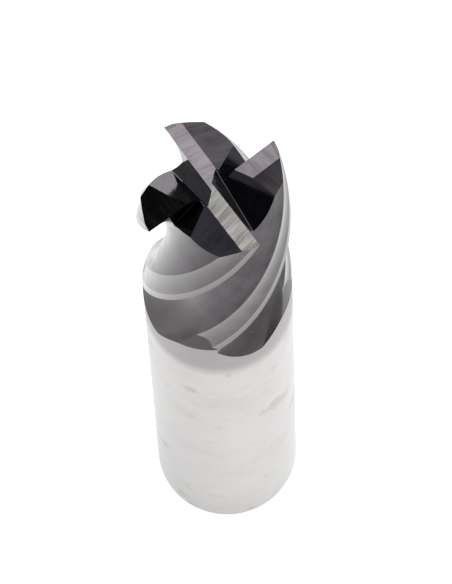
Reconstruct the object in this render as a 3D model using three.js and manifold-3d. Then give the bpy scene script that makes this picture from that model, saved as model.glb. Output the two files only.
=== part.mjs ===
// A four-flute, centre-cutting, square end mill: right-hand cut, right-hand helix.
// Millimetres, +Z up the axis. The origin is the centre of the flat shank end, and
// long tooth 1 has its corner on the +X axis. Teeth 1 and 3 are the long ones, whose
// end edges meet at the axis. Teeth 2 and 4 are short and stop before it.
import * as THREE from "three";
import { mergeVertices } from "three/addons/utils/BufferGeometryUtils.js";
import Module from "manifold-3d";

// Driving dimensions
const toolDiameter = 12.7;
const overallLength = 76.2;
const toothCount = 4;
const helixAngle = 30; // degrees
const shankLength = 46.5; // from the shank end to the circle where the band starts
const shankChamfer = 0.6;
const webDiameter = 8.2; // the solid middle that the teeth stand on
const fluteFloorRadius = 3.8;
const teethEndDepth = 19; // below the tip plane: where the flutes start to run out
const aboveTip = 0.4; // the blank stands this far above the tip plane before grinding

// Section of one tooth and the flute ahead of it, square to the axis
const marginAngle = 6.5;
const marginRadius = 6.25;
const heelAngle = 27;
const heelRadius = 5.82;
const backEdgeAngle = 37; // the edge between the heel facet and the flute
const backEdgeRadius = 5.17;
// the flute from the cutting corner inwards: [out along the tooth, ahead of it]
const fluteProfile = [
  [5.6, 0.02],
  [4.9, 0.03],
  [4.3, 0.24],
  [3.85, 0.76],
  [3.64, 1.4],
  [3.56, 2.12],
  [3.5, 2.85],
  [3.35, 3.5],
];

// How finely the curved surfaces are cut into flat ones
const landSteps = 4;
const fluteSteps = 13;
const toothRows = 15;
const climbRows = 12;
const startRows = 2;
const shankSegments = 72;
const webSegments = 48;

// Run-out of the flutes and of the relief behind the cutting edges
const fluteExitRadius = 16; // the floor's arc as it climbs to the full diameter
const fluteExitAtEdge = 24.9; // depth where the flute ends, beside the cutting edge
const fluteExitDeepest = 27.7;
const fluteExitDeepestAngle = 52;
const fluteExitAtHeel = 25.4;
const landExitAtEdge = 24.3;
const landExitAtHeel = 25.2;
const landExitSlope = 0.2;
const climbStartDepth = 21;
const climbFirstRow = 22;
const belowClimb = 0.3;
const rakeOpening = 0.6; // degrees for each step of the outline, as the flute closes

// End teeth
const endDishAngle = 2;
const endPrimaryAngle = 9;
const endSecondaryAngle = 20;
const endLandWidth = 1.43;
const longEdgeLead = 0.19; // how far ahead of the axis a long tooth's end edge passes
const shortEdgeStart = 0.635; // how far out from the axis a short tooth's end edge starts
const cutOverlap = 0.002;
const crumbVolume = 0.001;

// Gashes, as planes: the depth at the axis, and how it grows out along the tooth and ahead
const longGashFloor = { atAxis: 0.32, outward: 0.67, ahead: 0.67 };
const longGashWall = { atAxis: 2.13, outward: 0.61, ahead: -0.855 };
const shortGashWall = { atAxis: 0.1, outward: 0.68, ahead: -0.68 };

const toolRadius = toolDiameter / 2;
const radians = THREE.MathUtils.degToRad;
const tangent = (degrees) => Math.tan(radians(degrees));
const twistPerDepth = tangent(helixAngle) / toolRadius; // radians per mm

const wasm = await Module();
wasm.setup();

// The closed solid of a three.js geometry.
function solidOf(geometry) {
  const bare = geometry.clone();
  bare.deleteAttribute("normal");
  bare.deleteAttribute("uv");
  const merged = mergeVertices(bare, 1e-5);
  const vertProperties = new Float32Array(merged.attributes.position.array);
  const triVerts = new Uint32Array(merged.index.array);
  return new wasm.Manifold(new wasm.Mesh({ numProp: 3, vertProperties, triVerts }));
}

// The three.js geometry of a solid, with flat facets.
function geometryOf(solid) {
  const mesh = solid.getMesh();
  const geometry = new THREE.BufferGeometry();
  geometry.setAttribute("position", new THREE.BufferAttribute(mesh.vertProperties, 3));
  geometry.setIndex(new THREE.BufferAttribute(mesh.triVerts, 1));
  return geometry;
}

function polar(radius, degrees) {
  const angle = radians(degrees);
  return new THREE.Vector2(radius * Math.cos(angle), radius * Math.sin(angle));
}

// One tooth's outline, counter-clockwise: heel, flat land, narrow margin, corner, then
// the flat rake face, the flute's floor and its back, up to the next tooth's heel.
function toothOutline() {
  const heel = polar(heelRadius, -heelAngle);
  const marginEnd = polar(marginRadius, -marginAngle);
  const corner = new THREE.Vector2(toolRadius, 0);
  const backEdge = polar(backEdgeRadius, 90 - backEdgeAngle);
  const outline = [];
  for (let i = 0; i < landSteps; i += 1) {
    outline.push({ point: heel.clone().lerp(marginEnd, i / landSteps), inFlute: false });
  }
  outline.push({ point: marginEnd, inFlute: false }, { point: corner, inFlute: false });
  const flute = new THREE.SplineCurve([
    corner,
    ...fluteProfile.map(([out, ahead]) => new THREE.Vector2(out, ahead)),
    backEdge,
  ]);
  for (const point of flute.getSpacedPoints(fluteSteps).slice(1)) {
    outline.push({ point, inFlute: true });
  }
  const nextHeel = polar(heelRadius, 90 - heelAngle);
  outline.push({ point: backEdge.clone().lerp(nextHeel, 0.5), inFlute: true });
  return outline;
}

// How deep below the tip plane a flute ends, at an angle ahead of its cutting edge.
function fluteEndDepth(degrees) {
  if (degrees < fluteExitDeepestAngle) {
    const part = Math.max(degrees, 0) / fluteExitDeepestAngle;
    const rise = Math.sin((part * Math.PI) / 2);
    return fluteExitAtEdge + (fluteExitDeepest - fluteExitAtEdge) * rise;
  }
  const past = (degrees - fluteExitDeepestAngle) / (90 - heelAngle - fluteExitDeepestAngle);
  return fluteExitDeepest - (fluteExitDeepest - fluteExitAtHeel) * past * past;
}

// The flute's floor radius near its end: an arc that climbs to the full diameter.
function fluteFloor(depth, degrees) {
  const climb = toolRadius - fluteFloorRadius;
  const length = Math.sqrt(fluteExitRadius ** 2 - (fluteExitRadius - climb) ** 2);
  const along = length - (fluteEndDepth(degrees) - depth);
  if (along <= 0) {
    return fluteFloorRadius;
  }
  if (along >= length) {
    return toolRadius;
  }
  return fluteFloorRadius + fluteExitRadius - Math.sqrt(fluteExitRadius ** 2 - along ** 2);
}

// The land's least radius near its end: a short ramp up to the full diameter.
function landFloor(depth, degrees) {
  const part = Math.min(Math.abs(degrees) / heelAngle, 1);
  const end = landExitAtEdge + (landExitAtHeel - landExitAtEdge) * part;
  return Math.min(toolRadius, toolRadius - (end - depth) * landExitSlope);
}

// The direction of a point seen from the axis, from -180 to 180 degrees.
function directionOf(point) {
  return THREE.MathUtils.radToDeg(Math.atan2(point.y, point.x));
}

const sectionOfTooth = toothOutline().map(({ point, inFlute }, index) => ({
  radius: point.length(),
  degrees: directionOf(point),
  // where the point goes as the flute closes
  openDegrees: (index - landSteps - 1) * rakeOpening,
  inFlute,
}));

// The section at a depth below the tip plane, as points of a closed loop.
function sectionAt(depth) {
  const loop = [];
  for (let tooth = 0; tooth < toothCount; tooth += 1) {
    const turned = (tooth * 2 * Math.PI) / toothCount - depth * twistPerDepth;
    for (const { radius, degrees, openDegrees, inFlute } of sectionOfTooth) {
      const floor = inFlute ? fluteFloor(depth, degrees) : landFloor(depth, degrees);
      const closing = (floor - fluteFloorRadius) / (toolRadius - fluteFloorRadius);
      const share = THREE.MathUtils.clamp(closing, 0, 1);
      const open = inFlute ? Math.max(degrees, openDegrees) : degrees;
      const angle = turned + radians(THREE.MathUtils.lerp(degrees, open, share));
      const reach = Math.max(radius, floor);
      const x = reach * Math.cos(angle);
      const y = reach * Math.sin(angle);
      loop.push(new THREE.Vector3(x, y, overallLength - depth));
    }
  }
  return loop;
}

// A closed solid through the sections at these depths, deepest first.
function loft(depths) {
  const loops = depths.map(sectionAt);
  const count = loops[0].length;
  const positions = loops.flat().flatMap((point) => point.toArray());
  const index = [];
  for (let row = 0; row + 1 < loops.length; row += 1) {
    for (let i = 0; i < count; i += 1) {
      const next = (i + 1) % count;
      const [a, b] = [row * count + i, row * count + next];
      const [c, d] = [a + count, b + count];
      index.push(a, b, d, a, d, c);
    }
  }
  for (const [row, turn] of [[0, true], [loops.length - 1, false]]) {
    const flat = loops[row].map((point) => new THREE.Vector2(point.x, point.y));
    for (const [a, b, c] of THREE.ShapeUtils.triangulateShape(flat, [])) {
      const face = turn ? [a, c, b] : [a, b, c];
      index.push(...face.map((corner) => corner + row * count));
    }
  }
  const geometry = new THREE.BufferGeometry();
  geometry.setAttribute("position", new THREE.Float32BufferAttribute(positions, 3));
  geometry.setIndex(index);
  return solidOf(geometry);
}

// Depths from one to another, deepest first, in equal steps.
function depthsBetween(deep, shallow, steps) {
  return Array.from({ length: steps + 1 }, (_, i) => deep + ((shallow - deep) * i) / steps);
}

// A large block on one side of a plane, the side that its normal points to.
function blockBeyond(point, normal) {
  const size = toolDiameter * 3;
  const block = new THREE.BoxGeometry(size, size, size);
  block.translate(0, 0, size / 2);
  const up = new THREE.Vector3(0, 0, 1);
  block.applyQuaternion(new THREE.Quaternion().setFromUnitVectors(up, normal.clone().normalize()));
  block.translate(point.x, point.y, point.z);
  return solidOf(block);
}

// Everything above a sloping plane, which is given by its depth below the tip plane at
// the axis and by how that depth grows out along the tooth and ahead of it.
function above({ atAxis, outward, ahead }) {
  const point = new THREE.Vector3(0, 0, overallLength - atAxis);
  return blockBeyond(point, new THREE.Vector3(outward, ahead, 1));
}

// What lies ahead of a tooth's end edge, which passes the axis by this lead.
function aheadOfEdge(lead) {
  const corner = new THREE.Vector3(toolRadius, 0, overallLength);
  return blockBeyond(corner, new THREE.Vector3(lead, toolRadius, 0));
}

// What lies behind that edge and further out from the axis than start. It reaches a
// hair past the edge, so that no film of metal is left between the two cuts.
function behindEdge(lead, start) {
  const corner = new THREE.Vector3(toolRadius, cutOverlap, overallLength);
  const inner = new THREE.Vector3(start - cutOverlap, 0, overallLength);
  const behind = blockBeyond(corner, new THREE.Vector3(-lead, -toolRadius, 0));
  return behind.intersect(blockBeyond(inner, new THREE.Vector3(1, 0, 0)));
}

// The two relief facets of a tooth's end, as the material ground away above them. Each
// facet falls behind the edge at its own slope, and towards the axis by the dish.
function endRelief(lead, start) {
  const dishAtAxis = toolRadius * tangent(endDishAngle);
  const primary = tangent(endPrimaryAngle);
  const aboveFacet = (slope, setBack) => {
    const rise = dishAtAxis + slope * lead;
    const atAxis = rise - (slope - primary) * setBack;
    return above({ atAxis, outward: -rise / toolRadius, ahead: -slope });
  };
  const ground = aboveFacet(primary, 0).add(aboveFacet(tangent(endSecondaryAngle), endLandWidth));
  return ground.intersect(behindEdge(lead, start));
}

// The gash in front of a long tooth: a sloping floor, and a wall up to the next tooth.
function longGash() {
  const ground = above(longGashFloor).intersect(above(longGashWall));
  return ground.intersect(aheadOfEdge(longEdgeLead));
}

// The gash in front of a short tooth: one wall that meets the rake face in a sharp root.
function shortGash() {
  return above(shortGashWall).intersect(aheadOfEdge(0));
}

// All that is ground away at the end of the tool.
function endCuts() {
  const cuts = [];
  for (let tooth = 0; tooth < toothCount; tooth += 1) {
    const isLong = tooth % 2 === 0;
    const relief = isLong ? endRelief(longEdgeLead, 0) : endRelief(0, shortEdgeStart);
    const gash = isLong ? longGash() : shortGash();
    cuts.push(relief.add(gash).rotate([0, 0, (tooth * 360) / toothCount]));
  }
  return cuts;
}

// A round bar about the axis, between two heights.
function bar(diameter, low, high, segments) {
  const cylinder = new THREE.CylinderGeometry(diameter / 2, diameter / 2, high - low, segments);
  cylinder.rotateX(Math.PI / 2);
  cylinder.translate(0, 0, (low + high) / 2);
  return solidOf(cylinder);
}

// The separate bodies of a solid, without the crumbs that rounding leaves at a corner.
function bodiesOf(solid) {
  return solid.decompose().filter((body) => body.volume() > crumbVolume);
}

const splitHeight = overallLength - teethEndDepth;
let fluted = loft([...depthsBetween(teethEndDepth, 0, toothRows), -aboveTip]);
for (const cut of endCuts()) {
  fluted = fluted.subtract(cut);
}
const web = bar(webDiameter, splitHeight - aboveTip, overallLength + aboveTip, webSegments);
const runout = loft([
  overallLength - shankLength,
  ...depthsBetween(fluteExitDeepest + belowClimb, climbFirstRow, climbRows),
  ...depthsBetween(climbStartDepth, teethEndDepth, startRows),
]);

const coated = { color: 0x57555c, roughness: 0.42, metalness: 0.7 };
const bareGround = { color: 0xc9c9cb, roughness: 0.3, metalness: 0.9 };

const endMill = new THREE.Group();

function addPart(name, geometry, finish) {
  const mesh = new THREE.Mesh(geometry, new THREE.MeshStandardMaterial(finish));
  mesh.name = name;
  endMill.add(mesh);
}

// Shank: a ground bar with a small chamfer round its end.
const shankProfile = [
  new THREE.Vector2(0, 0),
  new THREE.Vector2(toolRadius - shankChamfer, 0),
  new THREE.Vector2(toolRadius, shankChamfer),
  new THREE.Vector2(toolRadius, shankLength),
  new THREE.Vector2(0, shankLength),
];
const shankShape = new THREE.LatheGeometry(shankProfile, shankSegments);
shankShape.rotateX(Math.PI / 2);
addPart("shank", shankShape, bareGround);
addPart("flute_runout", geometryOf(runout), coated);
addPart("web_core", geometryOf(bodiesOf(fluted.intersect(web))[0]), coated);

// The teeth are what stands outside the web. Each one's highest point is its corner,
// and the corner's direction says which tooth it is.
function toothNumber(geometry) {
  const points = geometry.getAttribute("position");
  let top = 0;
  for (let i = 1; i < points.count; i += 1) {
    top = points.getZ(i) > points.getZ(top) ? i : top;
  }
  const turns = Math.atan2(points.getY(top), points.getX(top)) / (2 * Math.PI);
  return (Math.round(turns * toothCount) + toothCount) % toothCount;
}

const toothNames = ["long_tooth_1", "short_tooth_2", "long_tooth_3", "short_tooth_4"];
for (const solid of bodiesOf(fluted.subtract(web))) {
  const geometry = geometryOf(solid);
  addPart(toothNames[toothNumber(geometry)], geometry, coated);
}

export default endMill;
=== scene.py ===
import math

import bmesh
import bpy
import numpy as np
from mathutils import Matrix, Vector


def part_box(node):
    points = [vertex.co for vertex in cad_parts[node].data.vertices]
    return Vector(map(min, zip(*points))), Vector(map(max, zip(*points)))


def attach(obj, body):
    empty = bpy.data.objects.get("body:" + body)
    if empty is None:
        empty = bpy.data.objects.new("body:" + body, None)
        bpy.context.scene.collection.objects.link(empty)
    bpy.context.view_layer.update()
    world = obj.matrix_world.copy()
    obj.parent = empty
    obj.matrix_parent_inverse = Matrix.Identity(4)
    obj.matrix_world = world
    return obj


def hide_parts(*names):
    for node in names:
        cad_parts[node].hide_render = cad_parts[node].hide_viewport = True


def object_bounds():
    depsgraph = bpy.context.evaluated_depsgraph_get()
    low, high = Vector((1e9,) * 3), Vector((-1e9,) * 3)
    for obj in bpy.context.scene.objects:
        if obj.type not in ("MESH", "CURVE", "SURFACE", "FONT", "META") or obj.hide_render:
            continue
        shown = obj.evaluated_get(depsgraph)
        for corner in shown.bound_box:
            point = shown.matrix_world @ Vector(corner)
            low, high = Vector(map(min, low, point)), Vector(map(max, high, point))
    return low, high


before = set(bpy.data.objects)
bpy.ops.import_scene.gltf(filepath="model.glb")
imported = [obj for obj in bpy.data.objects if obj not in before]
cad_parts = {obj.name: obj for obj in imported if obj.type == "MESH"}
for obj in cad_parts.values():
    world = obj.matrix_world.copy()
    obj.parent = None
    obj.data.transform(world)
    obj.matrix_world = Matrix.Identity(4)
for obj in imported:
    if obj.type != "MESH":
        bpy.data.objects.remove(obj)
cadLow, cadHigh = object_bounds()
toMetres = 0.001
scene = bpy.context.scene
print("stage: frame loaded")


def radiansOf(degrees):
    return degrees * math.pi / 180


def slopeOf(degrees):
    return math.tan(radiansOf(degrees))


# the tool's own measures come from the frame and are held in millimetres
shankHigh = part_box("shank")[1]
tool = {
    "radius": shankHigh.x / toMetres,
    "length": cadHigh.z / toMetres,
    "shankLength": shankHigh.z / toMetres,
    "teeth": 4,
    "helix": 30.0,  # degrees
}
twistPerDepth = slopeOf(tool["helix"]) / tool["radius"]  # radians for each millimetre down from the tip

# one tooth's section, square to the axis; angles are degrees behind the cutting edge
section = {
    "marginAngle": 6.5,
    "marginRadius": 6.25,
    "heelAngle": 27.0,
    "heelRadius": 5.82,
    "backAngle": 37.0,
    "backRadius": 5.17,
    "edgeRound": 0.05,  # how far the ground edges are softened, to either side
    "landSteps": 10,
    "marginSteps": 4,
    "fluteSteps": 54,
    "heelSteps": 5,
    "finePoints": 60,
    "smoothPasses": 40,
    # the flute from the cutting corner inwards: out along the tooth, and ahead of it
    "flute": (
        (5.6, 0.02), (4.9, 0.03), (4.3, 0.24), (3.85, 0.76),
        (3.64, 1.4), (3.56, 2.12), (3.5, 2.85), (3.35, 3.5),
    ),
}

# where the flutes and the lands run out; depths are millimetres below the tip
runOut = {
    "edgeDepth": 24.9,
    "deepest": 27.7,
    "deepestAngle": 52.0,
    "heelDepth": 25.4,
    "climbLength": 8.6,
    "landEdgeDepth": 24.3,
    "landHeelDepth": 25.2,
    "landSlope": 0.2,
    "wallWidth": 1.0,  # over this width the flute's end leaves the land's
    "rakeOpening": 0.22,  # degrees for each column, as the flute closes
    "flutePower": 2.0,
    "headroom": 0.5,
    "upperRows": 90,
    "climbRows": 34,
    "bandRows": 4,
}


def polarPoint(radius, degrees):
    angle = radiansOf(degrees)
    return np.array([radius * math.cos(angle), radius * math.sin(angle)])


# a smooth curve through the points, cut into equal lengths
def curveThrough(points, steps):
    fine = []
    for i in range(len(points) - 1):
        before, start, end, after = (points[min(max(i + k, 0), len(points) - 1)] for k in (-1, 0, 1, 2))
        leave, arrive = (end - before) / 2, (after - start) / 2
        for t in np.linspace(0, 1, section["finePoints"], endpoint=False):
            fine.append(
                (2 * start - 2 * end + leave + arrive) * t**3
                + (-3 * start + 3 * end - 2 * leave - arrive) * t**2
                + leave * t
                + start
            )
    fine = np.array(fine + [points[-1]])
    along = np.concatenate([[0], np.cumsum(np.linalg.norm(np.diff(fine, axis=0), axis=1))])
    wanted = np.linspace(0, along[-1], steps + 1)
    even = np.stack([np.interp(wanted, along, fine[:, k]) for k in (0, 1)], axis=1)
    for _ in range(section["smoothPasses"]):
        even[1:-1] = even[:-2] / 4 + even[1:-1] / 2 + even[2:] / 4
    return even


# a softened corner: three points on a small curve in place of one sharp one
def softened(before, corner, after, size):
    start = corner + (before - corner) / np.linalg.norm(before - corner) * size
    end = corner + (after - corner) / np.linalg.norm(after - corner) * size
    return [(1 - t) ** 2 * start + 2 * t * (1 - t) * corner + t**2 * end for t in (0, 0.5, 1)]


# the columns of one tooth, counter-clockwise: land, margin, corner, flute, and the next heel's facet
def toothColumns():
    heel = polarPoint(section["heelRadius"], -section["heelAngle"])
    marginEnd = polarPoint(section["marginRadius"], -section["marginAngle"])
    corner = np.array([tool["radius"], 0.0])
    backEdge = polarPoint(section["backRadius"], 90 - section["backAngle"])
    nextHeel = polarPoint(section["heelRadius"], 90 - section["heelAngle"])
    lastBack = polarPoint(section["backRadius"], -section["backAngle"])
    inner = [np.array(point) for point in section["flute"]]
    flute = curveThrough([corner, *inner, backEdge], section["fluteSteps"])
    soft = section["edgeRound"]
    columns = []

    def add(points, kind):
        columns.extend((np.linalg.norm(p), math.degrees(math.atan2(p[1], p[0])), kind) for p in points)

    add(softened(lastBack, heel, marginEnd, soft), "land")
    landPart = np.linspace(0, 1, section["landSteps"] + 1)[1:-1]
    add([heel + (marginEnd - heel) * t for t in landPart], "land")
    add(softened(heel, marginEnd, corner, soft), "land")
    marginPart = np.linspace(0, 1, section["marginSteps"] + 1)[1:]
    add([marginEnd + (corner - marginEnd) * t for t in marginPart], "land")
    add(flute[1:-1], "flute")
    add(softened(flute[-2], backEdge, nextHeel, soft), "heel")
    heelPart = np.linspace(0, 1, section["heelSteps"] + 1)[1:-1]
    add([backEdge + (nextHeel - backEdge) * t for t in heelPart], "heel")
    return columns


def fluteEndDepth(degrees):
    deepestAngle = runOut["deepestAngle"]
    if degrees < deepestAngle:
        rise = math.sin(max(degrees, 0) / deepestAngle * math.pi / 2)
        return runOut["edgeDepth"] + (runOut["deepest"] - runOut["edgeDepth"]) * rise
    past = (degrees - deepestAngle) / (90 - section["heelAngle"] - deepestAngle)
    return runOut["deepest"] - (runOut["deepest"] - runOut["heelDepth"]) * past**2


# each column's climb to the full diameter: where it starts, where it ends, and its power
def climbOf(radius, degrees, kind):
    full = tool["radius"]
    part = min(abs(degrees) / section["heelAngle"], 1)
    landEnd = runOut["landEdgeDepth"] + (runOut["landHeelDepth"] - runOut["landEdgeDepth"]) * part
    if kind == "land":
        return landEnd - (full - radius) / runOut["landSlope"], landEnd, 1.0
    end = fluteEndDepth(degrees)
    start = end - runOut["climbLength"]
    if kind == "flute":
        wall = min((full - radius) / runOut["wallWidth"], 1)
        return start, runOut["landEdgeDepth"] * (1 - wall) + end * wall, runOut["flutePower"]
    pastBack = degrees - 90 + section["backAngle"]
    toHeel = min(max(pastBack / (section["backAngle"] - section["heelAngle"]), 0), 1)
    heelStart = runOut["landHeelDepth"] - (full - section["heelRadius"]) / runOut["landSlope"]
    heelEnd = end + (runOut["landHeelDepth"] - end) * toHeel
    return start + (heelStart - start) * toHeel, heelEnd, runOut["flutePower"] - toHeel


# rings of points, from above the tip down to the shank, with rows that follow the run-out
def headGrid():
    full, bottom = tool["radius"], tool["length"] - tool["shankLength"]
    grid = []
    columns = toothColumns()
    cornerAt = section["landSteps"] + section["marginSteps"] + 4  # the column of the cutting corner
    for tooth in range(tool["teeth"]):
        for column, (radius, degrees, kind) in enumerate(columns):
            start, end, power = climbOf(radius, degrees, kind)
            depths = np.concatenate([
                np.linspace(-runOut["headroom"], start, runOut["upperRows"], endpoint=False),
                np.linspace(start, end, runOut["climbRows"], endpoint=False),
                np.linspace(end, bottom, runOut["bandRows"]),
            ])
            climb = np.clip((depths - start) / max(end - start, 1e-6), 0, 1) ** power
            opened = max(degrees, (column - cornerAt) * runOut["rakeOpening"])
            openAt = opened if kind == "flute" else degrees
            angle = np.radians(degrees + (openAt - degrees) * climb + 90 * tooth) - depths * twistPerDepth
            reach = radius + (full - radius) * climb
            heights = tool["length"] - depths
            grid.append(np.stack([reach * np.cos(angle), reach * np.sin(angle), heights], axis=1))
    return np.array(grid).transpose(1, 0, 2)  # rows from the top, then columns


def meshObject(name, points, faces, materials=()):
    mesh = bpy.data.meshes.new(name)
    mesh.from_pydata([tuple(p) for p in np.asarray(points) * toMetres], [], faces)
    for material in materials:
        mesh.materials.append(material)
    mesh.validate()
    mesh.update()
    piece = bpy.data.objects.new(name, mesh)
    scene.collection.objects.link(piece)
    return piece


# a closed body from rings that run downwards, each counter-clockwise from above
def bodyFromRings(name, rings, materials=()):
    rowCount, columnCount = rings.shape[:2]
    faces = []
    for row in range(rowCount - 1):
        for column in range(columnCount):
            beside = (column + 1) % columnCount
            faces.append((
                row * columnCount + column,
                (row + 1) * columnCount + column,
                (row + 1) * columnCount + beside,
                row * columnCount + beside,
            ))
    faces.append(tuple(range(columnCount)))
    faces.append(tuple(reversed(range((rowCount - 1) * columnCount, rowCount * columnCount))))
    return meshObject(name, rings.reshape(-1, 3), faces, materials)


# a socket given as an input is linked, anything else is set as the input's value
def setInputs(tree, node, inputs):
    for socket, value in (inputs or {}).items():
        if isinstance(value, bpy.types.NodeSocket):
            tree.links.new(value, node.inputs[socket])
        else:
            node.inputs[socket].default_value = value


def addNode(tree, kind, inputs=None, **settings):
    node = tree.nodes.new(kind)
    for setting, value in settings.items():
        setattr(node, setting, value)
    setInputs(tree, node, inputs)
    return node


def mathOf(tree, operation, first, second=0.0):
    return addNode(tree, "ShaderNodeMath", {0: first, 1: second}, operation=operation).outputs[0]


def rangeOf(tree, value, fromLow, fromHigh, toLow, toHigh):
    inputs = {"Value": value, "From Min": fromLow, "From Max": fromHigh, "To Min": toLow, "To Max": toHigh}
    return addNode(tree, "ShaderNodeMapRange", inputs, interpolation_type="SMOOTHSTEP").outputs["Result"]


def vectorOf(tree, x, y, z):
    return addNode(tree, "ShaderNodeCombineXYZ", {"X": x, "Y": y, "Z": z}).outputs["Vector"]


def noiseOf(tree, vector, scale, detail, roughness):
    inputs = {"Vector": vector, "Scale": scale, "Detail": detail, "Roughness": roughness}
    return addNode(tree, "ShaderNodeTexNoise", inputs).outputs["Fac"]


def mixOf(tree, factor, first, second):
    node = addNode(tree, "ShaderNodeMix", data_type="RGBA")
    setInputs(tree, node, {0: factor, 6: first, 7: second})
    return node.outputs[2]


def dotOf(tree, vector, way):
    node = addNode(tree, "ShaderNodeVectorMath", {0: vector, 1: way}, operation="DOT_PRODUCT")
    return node.outputs["Value"]


def startGroup(name, inputs, outputs):
    tree = bpy.data.node_groups.new(name, "ShaderNodeTree")
    for label, (kind, value) in inputs.items():
        socket = tree.interface.new_socket(label, in_out="INPUT", socket_type="NodeSocket" + kind)
        if value is not None:
            socket.default_value = value
    for label, kind in outputs.items():
        tree.interface.new_socket(label, in_out="OUTPUT", socket_type="NodeSocket" + kind)
    return tree, tree.nodes.new("NodeGroupInput").outputs, tree.nodes.new("NodeGroupOutput").inputs


def useGroup(tree, group, inputs=None):
    node = tree.nodes.new("ShaderNodeGroup")
    node.node_tree = group
    setInputs(tree, node, inputs)
    return node.outputs


def startMaterial(name):
    material = bpy.data.materials.new(name)
    material.use_nodes = True
    tree = material.node_tree
    return material, tree, tree.nodes["Principled BSDF"]


# how the patterns in the finishes are drawn; a range is what counts as none and as full
patterns = {
    "lineDetail": (3.0, 0.7),
    "streakDetail": (2.0, 0.6),
    "streakAcross": 0.22,
    "streakAlong": 0.4,
    "lineRange": (0.36, 0.64),
    "grainDetail": (3.0, 0.65),
    "grainRange": (0.28, 0.72),
    "tintPerMillimetre": 0.55,
    "tintDetail": (3.0, 0.55),
    "tintRange": (0.32, 0.68),
    "specksPerMillimetre": 2.6,
    "speckCore": 0.02,
    "speckEdge": 0.09,
}


# where a point lies on the tool: in millimetres, and in degrees behind the cutting edge at that depth
def makeHelixPlace():
    tree, _, out = startGroup("helixPlace", {}, {
        "Point": "Vector", "Depth": "Float", "Radius": "Float", "Behind": "Float",
    })
    spot = addNode(tree, "ShaderNodeTexCoord").outputs["Object"]
    scaled = {0: spot, "Scale": 1 / toMetres}
    point = addNode(tree, "ShaderNodeVectorMath", scaled, operation="SCALE").outputs[0]
    x, y, z = addNode(tree, "ShaderNodeSeparateXYZ", {0: point}).outputs
    depth = mathOf(tree, "SUBTRACT", tool["length"], z)
    squares = mathOf(tree, "ADD", mathOf(tree, "MULTIPLY", x, x), mathOf(tree, "MULTIPLY", y, y))
    twist = mathOf(tree, "MULTIPLY", depth, twistPerDepth)
    angle = mathOf(tree, "ADD", mathOf(tree, "ARCTAN2", y, x), twist)
    degreesBack = mathOf(tree, "MULTIPLY", angle, -180 / math.pi)
    tree.links.new(point, out["Point"])
    tree.links.new(depth, out["Depth"])
    tree.links.new(mathOf(tree, "SQRT", squares), out["Radius"])
    tree.links.new(mathOf(tree, "FLOORED_MODULO", degreesBack, 360 / tool["teeth"]), out["Behind"])
    return tree


# fine parallel lines left by a grinding wheel: they run along Y of the vector and repeat across X
def makeGrindLines():
    tree, given, out = startGroup("grindLines", {
        "Vector": ("Vector", None), "Per Millimetre": ("Float", 8.0), "Run": ("Float", 0.5),
    }, {"Lines": "Float", "Streaks": "Float"})
    x, y, z = addNode(tree, "ShaderNodeSeparateXYZ", {0: given["Vector"]}).outputs
    across = mathOf(tree, "MULTIPLY", x, given["Per Millimetre"])
    along = mathOf(tree, "MULTIPLY", y, given["Run"])
    lineVector = vectorOf(tree, across, along, mathOf(tree, "MULTIPLY", z, given["Run"]))
    fine = noiseOf(tree, lineVector, 1.0, *patterns["lineDetail"])
    wideAcross = mathOf(tree, "MULTIPLY", across, patterns["streakAcross"])
    wideAlong = mathOf(tree, "MULTIPLY", along, patterns["streakAlong"])
    wide = noiseOf(tree, vectorOf(tree, wideAcross, wideAlong, z), 1.0, *patterns["streakDetail"])
    tree.links.new(rangeOf(tree, fine, *patterns["lineRange"], 0.0, 1.0), out["Lines"])
    tree.links.new(rangeOf(tree, wide, *patterns["lineRange"], 0.0, 1.0), out["Streaks"])
    return tree


# the coating's fine grain, its slow change of tint, and a few dust specks
def makeCoatGrain():
    tree, given, out = startGroup("coatGrain", {
        "Point": ("Vector", None), "Grain Per Millimetre": ("Float", 8.0), "Speck Share": ("Float", 0.02),
    }, {"Grain": "Float", "Tint": "Float", "Specks": "Float"})
    point = given["Point"]
    grain = noiseOf(tree, point, given["Grain Per Millimetre"], *patterns["grainDetail"])
    tint = noiseOf(tree, point, patterns["tintPerMillimetre"], *patterns["tintDetail"])
    cellInputs = {"Vector": point, "Scale": patterns["specksPerMillimetre"]}
    cell = addNode(tree, "ShaderNodeTexVoronoi", cellInputs, feature="F1")
    chosen = addNode(tree, "ShaderNodeSeparateColor", {0: cell.outputs["Color"]}).outputs[0]
    isSpeck = mathOf(tree, "LESS_THAN", chosen, given["Speck Share"])
    near = rangeOf(tree, cell.outputs["Distance"], patterns["speckCore"], patterns["speckEdge"], 1.0, 0.0)
    tree.links.new(rangeOf(tree, grain, *patterns["grainRange"], 0.0, 1.0), out["Grain"])
    tree.links.new(rangeOf(tree, tint, *patterns["tintRange"], 0.0, 1.0), out["Tint"])
    tree.links.new(mathOf(tree, "MULTIPLY", isSpeck, near), out["Specks"])
    return tree


helixPlace = makeHelixPlace()
grindLines = makeGrindLines()
coatGrain = makeCoatGrain()

# what all coated surfaces share, in millimetres and degrees; the bump's height alone is in metres
coat = {
    "speck": (0.75, 0.75, 0.78, 1),
    "marginHighlightEdge": (-0.3, 0.2),  # where the margin's painted highlight fades, from the end of the margin
    "heelHighlightEdge": (-1.3, -0.4),  # where the painted highlight comes back, from the heel
    "heelHighlightShare": 0.6,
    "wearWidth": 0.12,
    "wearRange": (0.3, 0.7, 0.9, 0.2),
    "bump": 0.03,
    "bumpHeight": 0.00003,
    "grainHeight": 0.6,  # as a share of the lines' height
    "slope": 0.7,  # how far the lines on an end face shift with height
    "amountRange": (0.2, 0.8),
}
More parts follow.
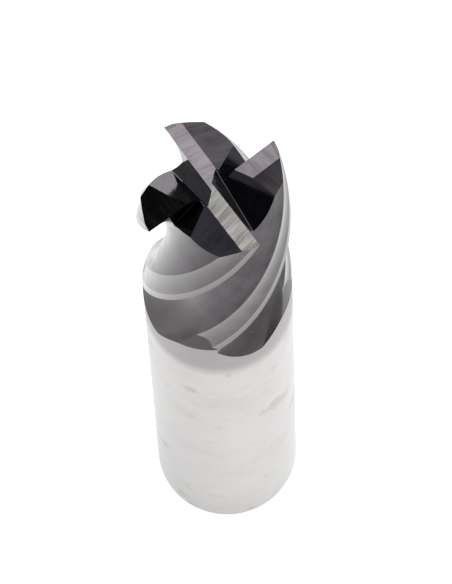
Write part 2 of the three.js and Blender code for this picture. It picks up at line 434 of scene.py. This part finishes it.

# each ground and coated surface: the two linear colours that its pattern runs between, a third that the
# light one drifts to, how rough it is, how close and how broken its grinding lines are, and the share of
# the pattern that is lines. Some entries are lighter or darker copies of the one coating, and so are
# painted light and shade
finishes = {
    "flute": {
        "dark": (0.027, 0.0235, 0.027, 1),
        "light": (0.098, 0.087, 0.097, 1),
        "other": (0.092, 0.087, 0.091, 1),
        # painted shade: the flute's colour is darkened towards the run-out, from shadeFrom to shadeTo
        # millimetres deep
        "runOutPaintedShade": (0.03, 0.0265, 0.029, 1),
        "rough": 0.2, "roughChange": 0.08, "perMillimetre": 4.0, "run": 0.2, "lineShare": 0.3,
        "speckShare": 0.04, "shadeFrom": 12.0, "shadeTo": 24.0, "shadeMost": 0.62,
    },
    "land": {
        "dark": (0.06, 0.054, 0.058, 1),
        "light": (0.12, 0.108, 0.115, 1),
        "other": (0.116, 0.11, 0.112, 1),
        # painted highlight: a lighter colour laid on the margin and on the land next to the heel
        "margin": (0.142, 0.133, 0.137, 1),
        "rough": 0.2, "roughChange": 0.08, "perMillimetre": 4.0, "run": 0.25, "lineShare": 0.3,
        "speckShare": 0.03,
    },
    "relief": {
        "dark": (0.036, 0.031, 0.035, 1),
        "light": (0.082, 0.073, 0.079, 1),
        "other": (0.077, 0.071, 0.078, 1),
        "rough": 0.12, "roughChange": 0.06, "perMillimetre": 5.5, "run": 0.5, "lineShare": 0.6,
        "speckShare": 0.02, "wearFrom": 5.85,
    },
    # painted shade: a darker copy of the end relief's coating, for facets that lie in shade
    "paintedShadeRelief": {
        "dark": (0.022, 0.019, 0.022, 1),
        "light": (0.056, 0.049, 0.055, 1),
        "other": (0.051, 0.048, 0.055, 1),
        "rough": 0.13, "roughChange": 0.06, "perMillimetre": 5.5, "run": 0.5, "lineShare": 0.55,
        "speckShare": 0.03, "wearFrom": 5.85,
    },
    # painted light: a lighter copy of the end relief's coating, for a facet that catches the light
    "paintedLightRelief": {
        "dark": (0.04, 0.039, 0.037, 1),
        "light": (0.118, 0.12, 0.113, 1),
        "other": (0.122, 0.108, 0.112, 1),
        "rough": 0.12, "roughChange": 0.06, "perMillimetre": 5.5, "run": 0.35, "lineShare": 0.85,
        "speckShare": 0.02, "wearFrom": 5.85,
    },
    # painted shade: a still darker copy of the end relief's coating, for a facet deep in shade
    "paintedDarkShadeRelief": {
        "dark": (0.018, 0.017, 0.024, 1),
        "light": (0.042, 0.04, 0.053, 1),
        "other": (0.036, 0.036, 0.045, 1),
        "rough": 0.14, "roughChange": 0.06, "perMillimetre": 5.0, "run": 0.5, "lineShare": 0.4,
        "speckShare": 0.04, "wearFrom": 5.85,
    },
    # painted shade: a darker copy of the gash's coating, for gash walls that lie in shade
    "gashPaintedShade": {
        "dark": (0.018, 0.0165, 0.021, 1),
        "light": (0.045, 0.042, 0.049, 1),
        "other": (0.041, 0.042, 0.046, 1),
        "rough": 0.12, "roughChange": 0.06, "perMillimetre": 4.0, "run": 0.25, "lineShare": 0.5,
        "speckShare": 0.1,
    },
    # painted shade: a much darker copy of the gash's coating, for gash floors deep in shade
    "gashFloorPaintedShade": {
        "dark": (0.008, 0.0076, 0.009, 1),
        "light": (0.021, 0.02, 0.023, 1),
        "other": (0.019, 0.02, 0.022, 1),
        "rough": 0.12, "roughChange": 0.06, "perMillimetre": 4.5, "run": 0.3, "lineShare": 0.5,
        "speckShare": 0.08,
    },
    "gash": {
        "dark": (0.04, 0.036, 0.045, 1),
        "light": (0.085, 0.08, 0.09, 1),
        "other": (0.08, 0.083, 0.082, 1),
        "rough": 0.11, "roughChange": 0.06, "perMillimetre": 3.5, "run": 0.2, "lineShare": 0.5,
        "speckShare": 0.08,
    },
}


# a coated finish; its grinding lines follow the helix, or run along x or y
def coatedFinish(name, kind, lineWay):
    looks = finishes[kind]
    material, tree, shader = startMaterial(name)
    spot = useGroup(tree, helixPlace)
    x, y, z = addNode(tree, "ShaderNodeSeparateXYZ", {0: spot["Point"]}).outputs
    if lineWay == "helix":
        arc = mathOf(tree, "MULTIPLY", spot["Behind"], tool["radius"] * math.pi / 180)
        lineVector = vectorOf(tree, arc, spot["Depth"], spot["Radius"])
    else:
        across, along = (y, x) if lineWay == "alongX" else (x, y)
        sloped = mathOf(tree, "ADD", across, mathOf(tree, "MULTIPLY", z, coat["slope"]))
        lineVector = vectorOf(tree, sloped, along, 0.0)
    lines = useGroup(tree, grindLines, {
        "Vector": lineVector, "Per Millimetre": looks["perMillimetre"], "Run": looks["run"],
    })
    grain = useGroup(tree, coatGrain, {"Point": spot["Point"], "Speck Share": looks["speckShare"]})
    bothLines = mathOf(tree, "ADD", lines["Lines"], lines["Streaks"])
    bothGrains = mathOf(tree, "ADD", grain["Grain"], grain["Tint"])
    pattern = mathOf(tree, "MULTIPLY", bothLines, looks["lineShare"] / 2)
    rest = mathOf(tree, "MULTIPLY", bothGrains, (1 - looks["lineShare"]) / 2)
    amount = mathOf(tree, "ADD", pattern, rest)
    colour = mixOf(tree, amount, looks["dark"], mixOf(tree, grain["Tint"], looks["light"], looks["other"]))
    # painted shade: the flute is darkened further down, towards the run-out
    if "runOutPaintedShade" in looks:
        shade = rangeOf(tree, spot["Depth"], looks["shadeFrom"], looks["shadeTo"], 0.0, looks["shadeMost"])
        colour = mixOf(tree, shade, colour, looks["runOutPaintedShade"])
    # painted highlight: the margin and the land near the heel are lightened
    if "margin" in looks:
        marginStart, marginStop = (section["marginAngle"] + edge for edge in coat["marginHighlightEdge"])
        heelStart, heelStop = (section["heelAngle"] + edge for edge in coat["heelHighlightEdge"])
        onMargin = rangeOf(tree, spot["Behind"], marginStart, marginStop, 1.0, 0.0)
        nearHeel = rangeOf(tree, spot["Behind"], heelStart, heelStop, 0.0, coat["heelHighlightShare"])
        colour = mixOf(tree, mathOf(tree, "MAXIMUM", onMargin, nearHeel), colour, looks["margin"])
    if "wearFrom" in looks:
        wearTo = looks["wearFrom"] + coat["wearWidth"]
        outer = rangeOf(tree, spot["Radius"], looks["wearFrom"], wearTo, 0.0, 1.0)
        worn = mathOf(tree, "MULTIPLY", outer, rangeOf(tree, grain["Grain"], *coat["wearRange"]))
        colour = mixOf(tree, worn, colour, looks["dark"])
    colour = mixOf(tree, grain["Specks"], colour, coat["speck"])
    halfChange = looks["roughChange"] / 2
    smooth, rough = looks["rough"] - halfChange, looks["rough"] + halfChange
    grainHeight = mathOf(tree, "MULTIPLY", grain["Grain"], coat["grainHeight"])
    height = mathOf(tree, "ADD", lines["Lines"], grainHeight)
    bumpInputs = {"Height": height, "Strength": coat["bump"], "Distance": coat["bumpHeight"]}
    bump = addNode(tree, "ShaderNodeBump", bumpInputs)
    tree.links.new(colour, shader.inputs["Base Color"])
    tree.links.new(rangeOf(tree, amount, *coat["amountRange"], smooth, rough), shader.inputs["Roughness"])
    tree.links.new(bump.outputs["Normal"], shader.inputs["Normal"])
    shader.inputs["Metallic"].default_value = 1
    return material


fluteFinish = coatedFinish("fluteCoat", "flute", "helix")
landFinish = coatedFinish("landCoat", "land", "helix")
longRelief = coatedFinish("longEndRelief", "relief", "alongY")
shortRelief = coatedFinish("shortEndRelief", "relief", "alongX")
# painted light and shade: lighter and darker copies of the end relief's coating, laid on single facets
longPaintedShadeRelief = coatedFinish("longReliefPaintedShade", "paintedShadeRelief", "alongY")
shortPaintedShadeRelief = coatedFinish("shortReliefPaintedShade", "paintedShadeRelief", "alongX")
paintedLightRelief = coatedFinish("endReliefPaintedLight", "paintedLightRelief", "alongY")
paintedDarkShadeRelief = coatedFinish("endReliefPaintedDarkShade", "paintedDarkShadeRelief", "alongY")
longGash = coatedFinish("longGash", "gash", "alongX")
shortGash = coatedFinish("shortGash", "gash", "alongY")
# painted shade: darker copies of the gash's coating, for gashes and floors that lie in shade
gashPaintedShade = coatedFinish("gashPaintedShade", "gashPaintedShade", "alongX")
gashFloorPaintedShade = coatedFinish("gashFloorPaintedShade", "gashFloorPaintedShade", "alongX")

# the plain bar: bright ground carbide, with the coating's overspray fading out below the run-out
barLooks = {
    "bare": (0.45, 0.441, 0.437, 1),
    "bareDark": (0.35, 0.342, 0.338, 1),
    "smudge": (0.3, 0.288, 0.282, 1),
    "coated": (0.218, 0.209, 0.207, 1),
    "fadeFrom": 43.8,  # millimetres above the shank's end
    "fadeTo": 47.1,
    "rough": 0.32,
    "roughChange": 0.03,
    "unevenRange": (0.4, 1.6),
    "linesPerMillimetre": 6.0,
    "lineRun": 0.12,
    "streakShare": 0.22,
    "smudgesPerMillimetre": 0.16,
    "smudgeDetail": (3.0, 0.6),
    "smudgeRange": (0.45, 0.75, 0.0, 0.4),
    "marksPerMillimetre": 0.42,
    "markDetail": (2.0, 0.5),
    "markStretch": 0.7,
    "markRange": (0.6, 0.76, 0.0, 0.8),
    "bump": 0.04,
    "grainHeight": 0.4,
}


def barFinish(name):
    looks = barLooks
    material, tree, shader = startMaterial(name)
    spot = useGroup(tree, helixPlace)
    x, y, z = addNode(tree, "ShaderNodeSeparateXYZ", {0: spot["Point"]}).outputs
    lines = useGroup(tree, grindLines, {
        "Vector": vectorOf(tree, z, x, y),
        "Per Millimetre": looks["linesPerMillimetre"],
        "Run": looks["lineRun"],
    })
    grain = useGroup(tree, coatGrain, {"Point": spot["Point"], "Speck Share": 0.0})
    smudges = noiseOf(tree, spot["Point"], looks["smudgesPerMillimetre"], *looks["smudgeDetail"])
    markVector = vectorOf(tree, x, y, mathOf(tree, "MULTIPLY", z, looks["markStretch"]))
    marks = noiseOf(tree, markVector, looks["marksPerMillimetre"], *looks["markDetail"])
    streaks = mathOf(tree, "MULTIPLY", lines["Streaks"], looks["streakShare"])
    base = mixOf(tree, streaks, looks["bare"], looks["bareDark"])
    base = mixOf(tree, rangeOf(tree, smudges, *looks["smudgeRange"]), base, looks["bareDark"])
    base = mixOf(tree, rangeOf(tree, marks, *looks["markRange"]), base, looks["smudge"])
    coated = rangeOf(tree, z, looks["fadeFrom"], looks["fadeTo"], 0.0, 1.0)
    base = mixOf(tree, coated, base, looks["coated"])
    uneven = mathOf(tree, "ADD", lines["Lines"], smudges)
    roughest = looks["rough"] + looks["roughChange"]
    rough = rangeOf(tree, uneven, *looks["unevenRange"], looks["rough"], roughest)
    grainHeight = mathOf(tree, "MULTIPLY", grain["Grain"], looks["grainHeight"])
    height = mathOf(tree, "ADD", lines["Lines"], grainHeight)
    bumpInputs = {"Height": height, "Strength": looks["bump"], "Distance": coat["bumpHeight"]}
    bump = addNode(tree, "ShaderNodeBump", bumpInputs)
    tree.links.new(base, shader.inputs["Base Color"])
    tree.links.new(rough, shader.inputs["Roughness"])
    tree.links.new(bump.outputs["Normal"], shader.inputs["Normal"])
    shader.inputs["Metallic"].default_value = 1
    return material


shankFinish = barFinish("groundBar")
print("stage: finishes made")

# the facets ground on the end of a tooth; lengths are millimetres, angles degrees
endTeeth = {
    "dish": 2.0,
    "primary": 9.0,
    "secondary": 20.0,
    "landWidth": 1.43,
    "edgeRound": 0.02,
    "longLead": 0.19,
    "shortStart": 0.64,
    "reach": 9.0,
    "headroom": 12.0,
    "overlap": 0.002,
    "sharpFrom": 9.0,
}

# the gashes in front of the end edges: a depth at the axis, then its slope outwards and its slope ahead
gashes = {
    "longFloor": (0.32, 0.67, 0.67),
    "longWall": (2.13, 0.61, -0.855),
    "shortWall": (0.1, 0.68, -0.68),
    "rootRound": 0.07,
}


# a closed cutter from two matching cross-sections, each a list of (out, ahead, depth); otherSide is the
# side of the section that wears the second finish, if there is one
def cutterBetween(name, inner, outer, turn, materials, otherSide):
    count = len(inner)
    points = []
    for out, ahead, depth in list(inner) + list(outer):
        angle = math.atan2(ahead, out) + radiansOf(turn)
        reach = math.hypot(out, ahead)
        points.append((reach * math.cos(angle), reach * math.sin(angle), tool["length"] - depth))
    faces = [tuple(range(count)), tuple(reversed(range(count, 2 * count)))]
    faces += [(i, i + count, (i + 1) % count + count, (i + 1) % count) for i in range(count)]
    cutter = meshObject(name, points, faces, materials)
    if otherSide is not None:
        cutter.data.polygons[2 + otherSide % count].material_index = 1
    work = bmesh.new()
    work.from_mesh(cutter.data)
    bmesh.ops.recalc_face_normals(work, faces=work.faces)
    work.to_mesh(cutter.data)
    work.free()
    return cutter


# how far ahead of the axis a tooth's end edge passes, at this distance out
def edgeAhead(lead, out):
    return lead * (1 - out / tool["radius"])


# the two facets behind an end edge, as the material ground away above them
def reliefCutter(name, lead, start, turn, materials):
    primary, secondary = slopeOf(endTeeth["primary"]), slopeOf(endTeeth["secondary"])
    width, high, wide = endTeeth["landWidth"], -endTeeth["headroom"], endTeeth["reach"]
    soft = endTeeth["edgeRound"]
    axisDepth = tool["radius"] * slopeOf(endTeeth["dish"])

    def ends(out):
        edge = edgeAhead(lead, out)
        depthAtEdge = axisDepth * (1 - out / tool["radius"])
        backDepth = depthAtEdge + width * primary
        return [
            (out, edge + endTeeth["overlap"], high),
            (out, edge + endTeeth["overlap"], depthAtEdge - endTeeth["overlap"] * primary),
            (out, edge - width + soft, backDepth - soft * primary),
            (out, edge - width - soft, backDepth + soft * secondary),
            (out, -wide, backDepth + (edge - width + wide) * secondary),
            (out, -wide, high),
        ]

    otherSide = -3 if len(materials) > 1 else None
    return cutterBetween(name, ends(start - endTeeth["overlap"]), ends(wide), turn, materials, otherSide)


# a gash's section: down the edge's face, along the floor if it has one, round a small root, and up the wall
def gashCutter(name, lead, floor, wall, turn, materials):
    high, wide, soft = -endTeeth["headroom"], endTeeth["reach"], gashes["rootRound"]

    def depthOn(plane, out, ahead):
        return plane[0] + plane[1] * out + plane[2] * ahead

    def ends(out):
        edge = edgeAhead(lead, out)
        top = (wall[0] + wall[1] * out - high) / -wall[2]
        points = [(out, edge, high)]
        if floor:
            root = (wall[0] - floor[0] + (wall[1] - floor[1]) * out) / (floor[2] - wall[2])
            points.append((out, edge, depthOn(floor, out, edge)))
            before = (out, root - soft, depthOn(floor, out, root - soft))
        else:
            root = edge
            before = (out, edge, depthOn(wall, out, edge) - soft)
        after = (out, root + soft, depthOn(wall, out, root + soft))
        lowest = depthOn(wall, out, root)
        middle = (out, root + (0 if floor else soft / 4), (before[2] + after[2]) / 4 + lowest / 2)
        return points + [before, middle, after, (out, top, high)]

    return cutterBetween(name, ends(-wide), ends(wide), turn, materials, 1 if floor else None)


def settleModifiers(piece):
    graph = bpy.context.evaluated_depsgraph_get()
    settled = bpy.data.meshes.new_from_object(piece.evaluated_get(graph))
    piece.modifiers.clear()
    piece.data = settled


def applyBoolean(piece, others, operation):
    for other in others:
        step = piece.modifiers.new(other.name, "BOOLEAN")
        step.operation = operation
        step.solver = "MANIFOLD"
        step.material_mode = "TRANSFER"
        step.object = other
    settleModifiers(piece)


# which finish each end facet and gash gets, tooth by tooth, in the order of the quarter turns; the lighter
# and darker copies among them are painted light and shade
endFinishes = (
    ([paintedLightRelief, paintedDarkShadeRelief], [gashPaintedShade, gashFloorPaintedShade]),
    ([shortRelief, shortPaintedShadeRelief], [gashFloorPaintedShade]),
    ([longRelief, longPaintedShadeRelief], [longGash, gashFloorPaintedShade]),
    ([shortRelief], [shortGash]),
)


# the loft's finishes: 0 is the flute's, 1 the land's and 2 the bar's
def finishLoft(head):
    kinds = [kind for _, _, kind in toothColumns()] * tool["teeth"]
    columnCount = len(kinds)
    bandRow = runOut["upperRows"] + runOut["climbRows"]
    for number, polygon in enumerate(head.data.polygons):
        row, column = divmod(number, columnCount)
        beside = (column + 1) % columnCount
        isLand = kinds[column] == "land" and kinds[beside] == "land"
        if row >= bandRow:
            polygon.material_index = 2
        elif row < runOut["upperRows"] and isLand:
            polygon.material_index = 1


def endCutters():
    cutters = []
    for tooth, (reliefs, walls) in enumerate(endFinishes):
        isLong = tooth % 2 == 0
        turn = 360 / tool["teeth"] * tooth
        lead = endTeeth["longLead"] if isLong else 0
        start = 0 if isLong else endTeeth["shortStart"]
        floor = gashes["longFloor"] if isLong else None
        wall = gashes["longWall"] if isLong else gashes["shortWall"]
        cutters.append(reliefCutter(f"relief{tooth}", lead, start, turn, reliefs))
        cutters.append(gashCutter(f"gash{tooth}", lead, floor, wall, turn, walls))
    return cutters


# the whole head: lofted flutes and lands, then the four end faces and their gashes ground away
def groundHead():
    head = bodyFromRings("wholeHead", headGrid(), [fluteFinish, landFinish, shankFinish])
    finishLoft(head)
    cutters = endCutters()
    applyBoolean(head, cutters, "DIFFERENCE")
    for cutter in cutters:
        bpy.data.objects.remove(cutter)
    for polygon in head.data.polygons:
        polygon.use_smooth = True
    head.data.set_sharp_from_angle(angle=radiansOf(endTeeth["sharpFrom"]))
    return head


head = groundHead()
print("stage: head ground")

# the head is then parted where a toolmaker names its regions; shading is kept from the whole head
parting = {
    "webSides": 96,
    "blockSides": 64,
    "blockRadius": 10,
    "past": 5,  # how far a block reaches beyond what it parts
    "leastPoints": 50,  # a loose body with fewer points is a crumb of the cut
}
webRadius = max(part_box("web_core")[1].x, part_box("web_core")[1].y) / toMetres
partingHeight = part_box("flute_runout")[1].z / toMetres


def roundBlock(name, radius, low, high, sides):
    turns = np.linspace(0, 2 * math.pi, sides, endpoint=False)
    return bodyFromRings(name, np.array([
        [(radius * math.cos(a), radius * math.sin(a), z) for a in turns] for z in (high, low)
    ]), [fluteFinish])


# remembers the shading of every corner, so that parting the head leaves no seam in its look
def keepShading(piece):
    mesh = piece.data
    kept = mesh.attributes.new("keptNormal", "FLOAT_VECTOR", "CORNER")
    normals = np.array([tuple(n.vector) for n in mesh.corner_normals])
    kept.data.foreach_set("vector", normals.ravel())


def restoreShading(piece):
    mesh = piece.data
    kept = mesh.attributes["keptNormal"]
    normals = np.zeros(len(mesh.loops) * 3)
    kept.data.foreach_get("vector", normals)
    normals = normals.reshape(-1, 3)
    lengths = np.linalg.norm(normals, axis=1)
    for polygon in mesh.polygons:
        corners = list(polygon.loop_indices)
        if min(lengths[corners]) < 0.5:  # a face of the parting itself has no kept shading
            normals[corners] = polygon.normal
    normals /= np.maximum(np.linalg.norm(normals, axis=1), 1e-9)[:, None]
    mesh.attributes.remove(kept)
    mesh.normals_split_custom_set([tuple(n) for n in normals])


def copyOf(piece, name):
    other = piece.copy()
    other.data = piece.data.copy()
    other.name = name
    scene.collection.objects.link(other)
    return other


def partFrom(whole, name, tools):
    piece = copyOf(whole, name)
    for block, operation in tools:
        applyBoolean(piece, [block], operation)
    return piece


# the points of each separate body in a mesh
def looseParts(piece):
    work = bmesh.new()
    work.from_mesh(piece.data)
    left = set(work.verts)
    groups = []
    while left:
        queue = [left.pop()]
        group = []
        while queue:
            vert = queue.pop()
            group.append(vert)
            for edge in vert.link_edges:
                other = edge.other_vert(vert)
                if other in left:
                    left.remove(other)
                    queue.append(other)
        groups.append(sorted(v.index for v in group))
    work.free()
    return groups


def onlyPoints(piece, name, group):
    part = copyOf(piece, name)
    keep = set(group)
    work = bmesh.new()
    work.from_mesh(part.data)
    bmesh.ops.delete(work, geom=[v for v in work.verts if v.index not in keep], context="VERTS")
    work.to_mesh(part.data)
    work.free()
    return part


# the teeth by the quarter turn that their corner, which is their highest point, lies at
toothNames = {
    0: ("firstLongTooth", "long_tooth_1"),
    1: ("firstShortTooth", "short_tooth_2"),
    2: ("secondLongTooth", "long_tooth_3"),
    3: ("secondShortTooth", "short_tooth_4"),
}


# always in the order of toothNames, whichever tooth is found first
def toothParts(teeth):
    points = teeth.data.vertices
    groups = {}
    for group in looseParts(teeth):
        if len(group) >= parting["leastPoints"]:
            corner = points[max(group, key=lambda i: points[i].co.z)].co
            groups[round(math.degrees(math.atan2(corner.y, corner.x)) / 90) % 4] = group
    return {node: onlyPoints(teeth, name, groups[quarter]) for quarter, (name, node) in toothNames.items()}


def partHead(whole):
    keepShading(whole)
    radius, past, sides = parting["blockRadius"], parting["past"], parting["blockSides"]
    below = roundBlock("below", radius, tool["shankLength"] - past, partingHeight, sides)
    core = roundBlock("core", webRadius, partingHeight - past, tool["length"] + past, parting["webSides"])
    parts = {
        "flute_runout": partFrom(whole, "runoutBand", [(below, "INTERSECT")]),
        "web_core": partFrom(whole, "solidWeb", [(core, "INTERSECT"), (below, "DIFFERENCE")]),
    }
    teeth = partFrom(whole, "teeth", [(core, "DIFFERENCE"), (below, "DIFFERENCE")])
    parts.update(toothParts(teeth))
    for node, piece in parts.items():
        restoreShading(piece)
        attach(piece, "root")
        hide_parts(node)
    for spent in (whole, below, core, teeth):
        bpy.data.objects.remove(spent)
    return parts


headParts = partHead(head)
print("stage: head parted into", ", ".join(part.name for part in headParts.values()))

# the shank: a ground bar with a small chamfer, softened at its edges
shankShape = {"chamfer": 0.6, "sides": 256, "edgeRound": 0.05, "sharpFrom": 30}


def shankRings():
    full, chamfer, soft = tool["radius"], shankShape["chamfer"], shankShape["edgeRound"]
    top = np.array([full, tool["shankLength"]])
    upper = np.array([full, chamfer])
    lower = np.array([full - chamfer, 0])
    centre = np.array([0, 0])
    profile = [top, *softened(top, upper, lower, soft), *softened(upper, lower, centre, soft)]
    turns = np.linspace(0, 2 * math.pi, shankShape["sides"], endpoint=False)
    return np.array([[(r * math.cos(a), r * math.sin(a), z) for a in turns] for r, z in profile])


def makeShank():
    shank = bodyFromRings("shankBar", shankRings(), [shankFinish])
    for polygon in shank.data.polygons:
        polygon.use_smooth = True
    shank.data.set_sharp_from_angle(angle=radiansOf(shankShape["sharpFrom"]))
    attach(shank, "root")
    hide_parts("shank")


makeShank()
print("stage: shank made")

# the camera's place round the tool: degrees and metres, with the aim in the tool's millimetres
view = {
    "azimuth": -34.63,
    "elevation": 72.29,
    "roll": -3.207,
    "distance": 0.5289,
    "aim": (0.386, 0.559, 47.9),
    "lens": 383.5,
    "sensor": 36,
    "clip": (0.05, 20),
}


# a direction, in degrees round from the camera's side and degrees up
def direction(azimuth, elevation):
    a, e = radiansOf(azimuth + view["azimuth"]), radiansOf(elevation)
    return Vector((math.cos(e) * math.cos(a), math.cos(e) * math.sin(a), math.sin(e)))


# a plain pale floor like a light table. Its light on the tool is uneven: dim on the near side, shaded
# close behind the tool, and bright further out towards brightWay; looked at directly it is even. Lengths
# are metres and brightWay is degrees
floorShape = {
    "size": 6.0,
    "colour": (0.35, 0.35, 0.35),
    "rough": 0.8,
    "shown": (0.8, 0.8, 0.8, 1),
    "glow": 0.82,
    "dimBy": 0.55,
    "dimFrom": -0.03,
    "dimTo": -0.2,
    "shadeBy": 0.65,
    "shadeFrom": 0.02,
    "shadeTo": 0.07,
    "brightBy": 2.1,
    "brightFrom": 0.14,
    "brightTo": 0.22,
    "brightWay": 150,
}


def makeFloor():
    shape = floorShape
    material, tree, shader = startMaterial("paleFloor")
    spot = addNode(tree, "ShaderNodeTexCoord").outputs["Object"]
    along = dotOf(tree, spot, tuple(direction(shape["brightWay"], 0)))
    dim = rangeOf(tree, along, shape["dimTo"], shape["dimFrom"], shape["dimBy"], 0.0)
    bright = rangeOf(tree, along, shape["brightFrom"], shape["brightTo"], 0.0, shape["brightBy"])
    shade = rangeOf(tree, along, shape["shadeFrom"], shape["shadeTo"], 0.0, shape["shadeBy"])
    given = mathOf(tree, "ADD", bright, shape["glow"])
    glow = mathOf(tree, "SUBTRACT", given, mathOf(tree, "ADD", dim, shade))
    seen = addNode(tree, "ShaderNodeLightPath").outputs["Is Camera Ray"]
    shownGlow = mixOf(tree, seen, vectorOf(tree, glow, glow, glow), shape["shown"])
    tree.links.new(shownGlow, shader.inputs["Emission Color"])
    shader.inputs["Base Color"].default_value = (*shape["colour"], 1)
    shader.inputs["Roughness"].default_value = shape["rough"]
    shader.inputs["Emission Strength"].default_value = 1
    half = shape["size"] / 2 / toMetres
    corners = [(-half, -half, 0), (half, -half, 0), (half, half, 0), (-half, half, 0)]
    floor = meshObject("floor", corners, [(0, 1, 2, 3)], [material])


makeFloor()

# soft boxes: where each hangs, its size in metres, which way its long side lies, and its brightness
lights = {
    "overheadBox": {
        "azimuth": 162,
        "elevation": 80.5,
        "distance": 0.9,
        "size": (0.96, 0.52),
        "longSide": 112,
        "glow": 4.5,
    },
}
aim = Vector(view["aim"]) * toMetres


def hangLight(name, light):
    lamp = bpy.data.lights.new(name, "AREA")
    lamp.shape = "RECTANGLE"
    lamp.size, lamp.size_y = light["size"]
    lamp.energy = light["glow"] * math.pi * lamp.size * lamp.size_y
    holder = bpy.data.objects.new(name, lamp)
    scene.collection.objects.link(holder)
    away = direction(light["azimuth"], light["elevation"])
    side = direction(light["longSide"], 0)
    side = (side - away * side.dot(away)).normalized()
    holder.location = aim + away * light["distance"]
    holder.rotation_mode = "QUATERNION"
    holder.rotation_quaternion = Matrix((side, away.cross(side), away)).transposed().to_quaternion()


for name, light in lights.items():
    hangLight(name, light)

# the room: faintly bright low down, dark overhead, and pale behind the tool. Each side glow has an azimuth,
# an elevation, a brightness, and how nearly a direction must agree with it to start and to be fully lit
room = {
    "low": 0.12,
    "high": 0.06,
    "lowUpTo": 0.1,
    "highFrom": 0.42,
    "sides": ((95, 12, 2.6, 0.25, 0.75), (-80, 5, 1.5, 0.35, 0.85)),
    "behind": (0.93, 0.93, 0.935, 1),
}


def makeRoom():
    world = bpy.data.worlds.new("studio")
    scene.world = world
    world.use_nodes = True
    tree = world.node_tree
    tree.nodes.clear()
    way = addNode(tree, "ShaderNodeTexCoord").outputs["Generated"]
    up = addNode(tree, "ShaderNodeSeparateXYZ", {0: way}).outputs["Z"]
    glow = rangeOf(tree, up, room["lowUpTo"], room["highFrom"], room["low"], room["high"])
    for azimuth, elevation, brightness, start, full in room["sides"]:
        towards = dotOf(tree, way, tuple(direction(azimuth, elevation)))
        glow = mathOf(tree, "ADD", glow, rangeOf(tree, towards, start, full, 0.0, brightness))
    seen = addNode(tree, "ShaderNodeLightPath").outputs["Is Camera Ray"]
    colour = mixOf(tree, seen, vectorOf(tree, glow, glow, glow), room["behind"])
    back = addNode(tree, "ShaderNodeBackground", {"Color": colour}).outputs["Background"]
    addNode(tree, "ShaderNodeOutputWorld", {"Surface": back})


def placeCamera():
    lens = bpy.data.cameras.new("camera")
    lens.lens = view["lens"]
    lens.sensor_width = view["sensor"]
    lens.dof.use_dof = False
    lens.clip_start, lens.clip_end = view["clip"]
    camera = bpy.data.objects.new("camera", lens)
    scene.collection.objects.link(camera)
    away = direction(0, view["elevation"])
    camera.location = aim + away * view["distance"]
    camera.rotation_mode = "QUATERNION"
    level = (-away).to_track_quat("-Z", "Y")
    camera.rotation_quaternion = level @ Matrix.Rotation(radiansOf(view["roll"]), 4, "Z").to_quaternion()
    scene.camera = camera


makeRoom()
placeCamera()
scene.view_settings.view_transform = "Standard"
print("stage: studio set")
